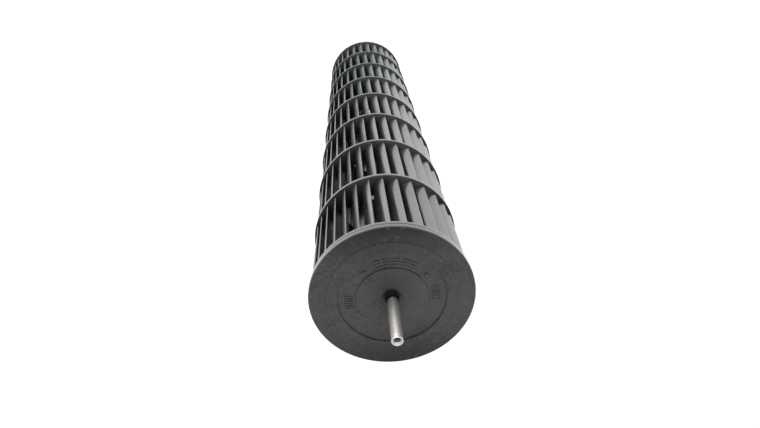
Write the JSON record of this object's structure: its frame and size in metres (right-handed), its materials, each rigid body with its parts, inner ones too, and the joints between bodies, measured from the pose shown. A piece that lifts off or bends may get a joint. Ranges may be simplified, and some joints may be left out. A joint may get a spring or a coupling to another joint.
{
  "type": "cross flow fan",
  "caption": "Long cylindrical blower rotor: ringed sections of forward-curved blades between two end caps, a steel bearing shaft at one end and a rubber-held hub at the other.",
  "frame": {"origin": "centre of the motor end cap's rim, where the rotor stands on its motor end", "axes": "+Z along the rotor's axis towards the bearing shaft, -Y towards the viewer"},
  "size_m": [0.09, 0.09, 0.5092],
  "materials": {
    "rotor_plastic": "satin moulded",
    "shaft_steel": "ground",
    "bush_rubber": "matte moulded",
    "hub_metal": "turned",
    "screw_steel": "blackened"
  },
  "bodies": {
    "root": {"shaft_end_cap": "rotor_plastic", "bearing_shaft": "shaft_steel", "blade_section_1": "rotor_plastic", "blade_section_2": "rotor_plastic", "blade_section_3": "rotor_plastic", "blade_section_4": "rotor_plastic", "blade_section_5": "rotor_plastic", "blade_section_6": "rotor_plastic", "blade_section_7": "rotor_plastic", "blade_section_8": "rotor_plastic", "motor_end_cap": "rotor_plastic", "rubber_bush": "bush_rubber", "hub_core": "hub_metal", "set_screw": "screw_steel"}
  },
  "joints": []
}
